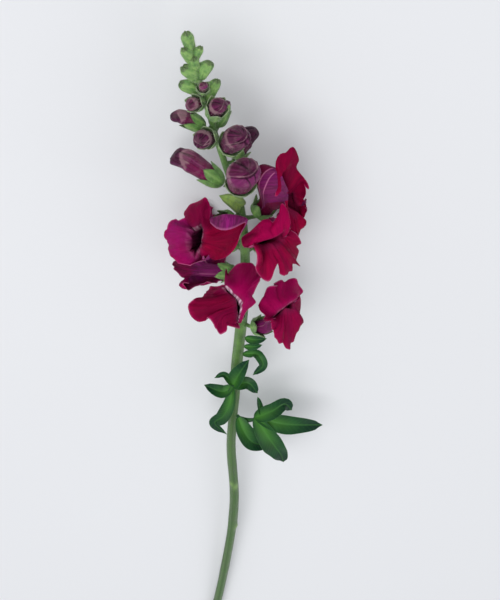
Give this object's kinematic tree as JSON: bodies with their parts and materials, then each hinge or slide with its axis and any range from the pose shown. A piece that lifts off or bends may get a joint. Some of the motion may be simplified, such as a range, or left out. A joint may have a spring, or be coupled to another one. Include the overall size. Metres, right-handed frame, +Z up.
{
  "type": "snapdragon flower spike",
  "caption": "Cut snapdragon spike lying on its back: curved stem with leafy shoots, open two-lipped florets, closed buds above them and green buds at the tip.",
  "frame": {"origin": "on the surface it lies on, under the middle of its box", "axes": "+Y along the stem from the cut end to the tip, +Z up from the surface, +X to the right seen from above with the tip away"},
  "size_m": [0.095, 0.5418, 0.0764],
  "materials": {
    "stem_green": "green, slightly waxy stem",
    "calyx_green": "soft, finely hairy green",
    "leaf_green": "satin dark green",
    "petal_crimson": "velvety crimson, magenta outside",
    "bud_plum": "satin plum"
  },
  "bodies": {
    "root": {"stem": "stem_green", "bract_high": "leaf_green", "bract_low": "leaf_green", "bract_small": "leaf_green", "leaf_curled": "leaf_green", "shoot_left": "leaf_green", "shoot_right": "leaf_green", "calyx_right_low": "calyx_green", "calyx_left_low": "calyx_green", "calyx_left_mid": "calyx_green", "calyx_right_mid": "calyx_green", "calyx_back_right": "calyx_green", "calyx_left_high": "calyx_green", "calyx_back_left": "calyx_green", "calyx_right_high": "calyx_green", "corolla_right_low": "petal_crimson", "corolla_left_low": "petal_crimson", "corolla_left_mid": "petal_crimson", "corolla_right_mid": "petal_crimson", "corolla_back_right": "petal_crimson", "corolla_left_high": "petal_crimson", "corolla_back_left": "petal_crimson", "corolla_right_high": "petal_crimson", "bud_calyx_front": "calyx_green", "bud_calyx_left": "calyx_green", "bud_calyx_back_high": "calyx_green", "bud_calyx_front_high": "calyx_green", "bud_calyx_left_dark": "calyx_green", "bud_calyx_right_back": "calyx_green", "bud_calyx_left_high": "calyx_green", "bud_calyx_right_high": "calyx_green", "bud_calyx_left_top": "calyx_green", "bud_calyx_top_pink": "calyx_green", "bud_front": "bud_plum", "bud_left": "bud_plum", "bud_back_high": "bud_plum", "bud_front_high": "bud_plum", "bud_left_dark": "bud_plum", "bud_right_back": "bud_plum", "bud_left_high": "bud_plum", "bud_right_high": "bud_plum", "bud_left_top": "bud_plum", "bud_top_pink": "bud_plum"}
  },
  "joints": []
}
